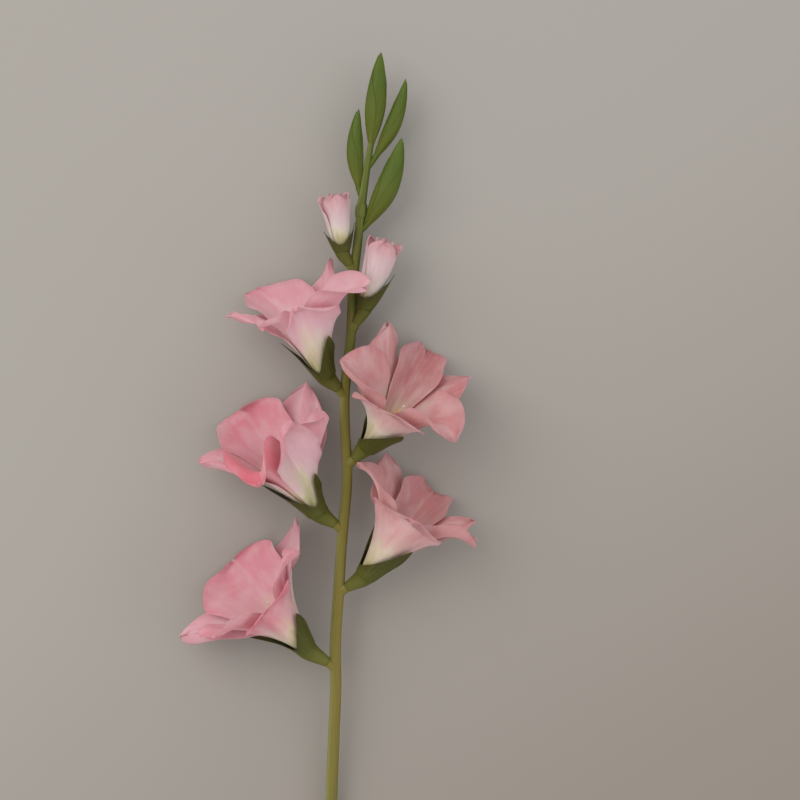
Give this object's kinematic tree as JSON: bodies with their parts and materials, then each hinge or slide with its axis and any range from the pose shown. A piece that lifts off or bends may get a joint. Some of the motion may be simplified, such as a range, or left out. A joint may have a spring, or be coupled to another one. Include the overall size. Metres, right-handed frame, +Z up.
{
  "type": "gladiolus flower spike",
  "caption": "Cut gladiolus spike lying on its back: a slender green stem with open pink funnel florets on both sides, half-open ones above and closed green buds at the tip.",
  "frame": {"origin": "on the surface the spike lies on, under the centre of its bounding box", "axes": "+Y along the stem from the cut end to the tip, +X to the right of the spike seen from above, +Z up"},
  "size_m": [0.1972, 0.6, 0.0797],
  "materials": {
    "stem": "olive-green waxy stem with a soft satin sheen",
    "spathe": "olive-green leathery bract, satin, darker inside",
    "bud": "fresh green closed bud, satin, with a paler bloom along one edge",
    "petal": "thin soft pink petal, matt, lets light through, paler towards the throat",
    "tube": "cream to yellow-green flower tube, matt",
    "stamens": "pale filaments with yellow anthers, matt"
  },
  "bodies": {
    "root": {"bud_1": "bud", "bud_2": "bud", "bud_3": "bud", "floret_1_petal_1": "petal", "floret_1_petal_2": "petal", "floret_1_petal_3": "petal", "floret_1_petal_4": "petal", "floret_1_petal_5": "petal", "floret_1_petal_6": "petal", "floret_1_spathe": "spathe", "floret_1_stamens": "stamens", "floret_1_tube": "tube", "floret_2_petal_1": "petal", "floret_2_petal_2": "petal", "floret_2_petal_3": "petal", "floret_2_petal_4": "petal", "floret_2_petal_5": "petal", "floret_2_petal_6": "petal", "floret_2_spathe": "spathe", "floret_2_stamens": "stamens", "floret_2_tube": "tube", "floret_3_petal_1": "petal", "floret_3_petal_2": "petal", "floret_3_petal_3": "petal", "floret_3_petal_4": "petal", "floret_3_petal_5": "petal", "floret_3_petal_6": "petal", "floret_3_spathe": "spathe", "floret_3_stamens": "stamens", "floret_3_tube": "tube", "floret_4_petal_1": "petal", "floret_4_petal_2": "petal", "floret_4_petal_3": "petal", "floret_4_petal_4": "petal", "floret_4_petal_5": "petal", "floret_4_petal_6": "petal", "floret_4_spathe": "spathe", "floret_4_stamens": "stamens", "floret_4_tube": "tube", "floret_5_petal_1": "petal", "floret_5_petal_2": "petal", "floret_5_petal_3": "petal", "floret_5_petal_4": "petal", "floret_5_petal_5": "petal", "floret_5_petal_6": "petal", "floret_5_spathe": "spathe", "floret_5_stamens": "stamens", "floret_5_tube": "tube", "half_open_1_inner_petals": "petal", "half_open_1_outer_petals": "petal", "half_open_1_spathe": "spathe", "half_open_2_inner_petals": "petal", "half_open_2_outer_petals": "petal", "half_open_2_spathe": "spathe", "stem": "stem", "tip_bud": "bud"}
  },
  "joints": []
}
